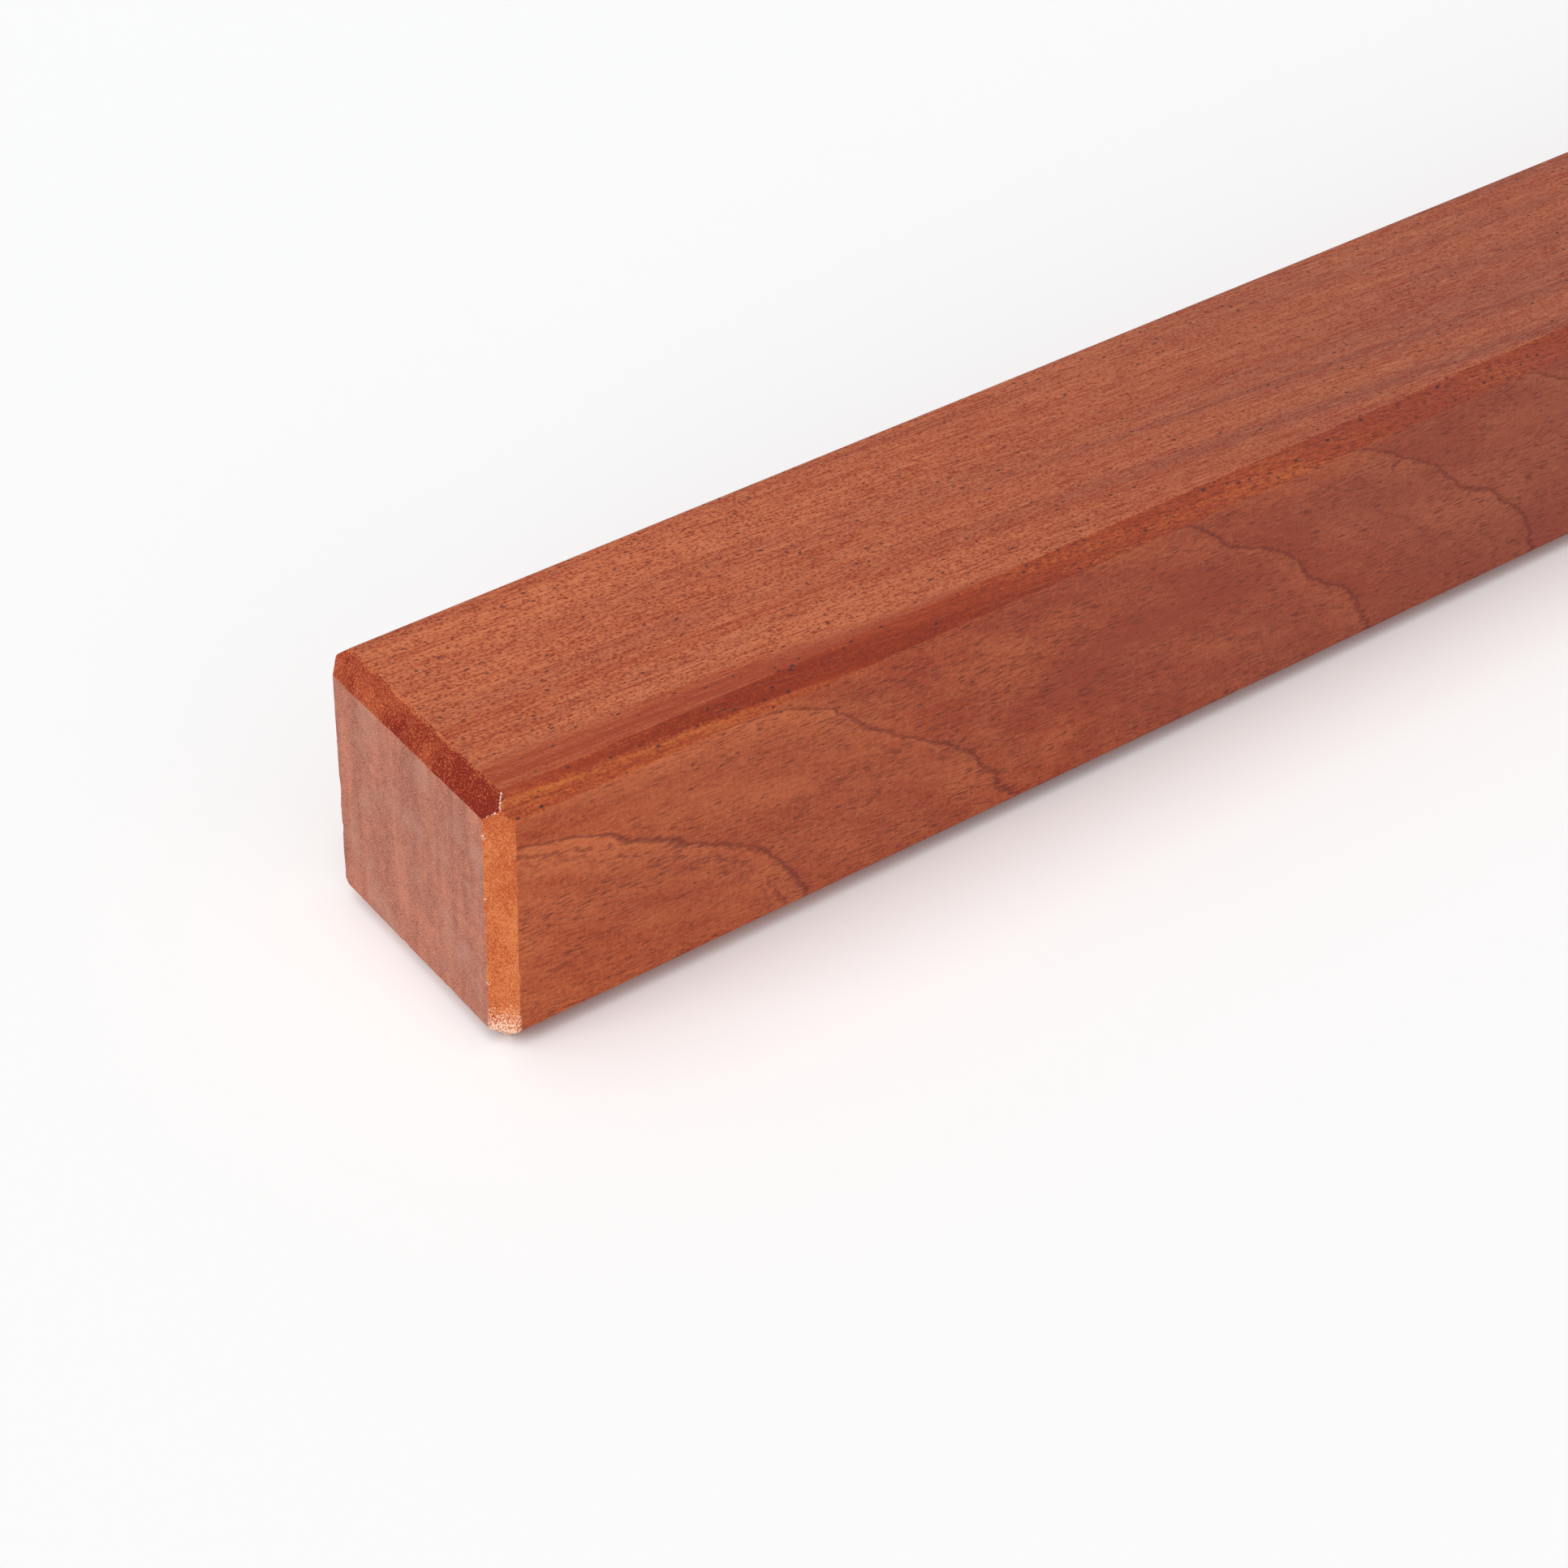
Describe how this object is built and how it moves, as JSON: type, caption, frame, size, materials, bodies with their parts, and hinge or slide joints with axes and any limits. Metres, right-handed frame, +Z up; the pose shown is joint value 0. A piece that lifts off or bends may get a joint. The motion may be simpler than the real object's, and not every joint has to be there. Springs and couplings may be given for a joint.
{
  "type": "stair handrail length",
  "caption": "Straight length of square hardwood handrail with chamfered edges and ends, to be screwed to wall brackets or cut between newel posts.",
  "frame": {"origin": "middle of the underside, on the surface that the rail lies on", "axes": "+X along the rail, +Y across it, +Z up from the underside to the top face"},
  "size_m": [1, 0.045, 0.045],
  "materials": {
    "hardwood": "planed and sanded reddish hardwood, satin, unvarnished"
  },
  "bodies": {
    "root": {"handrail": "hardwood"}
  },
  "joints": []
}
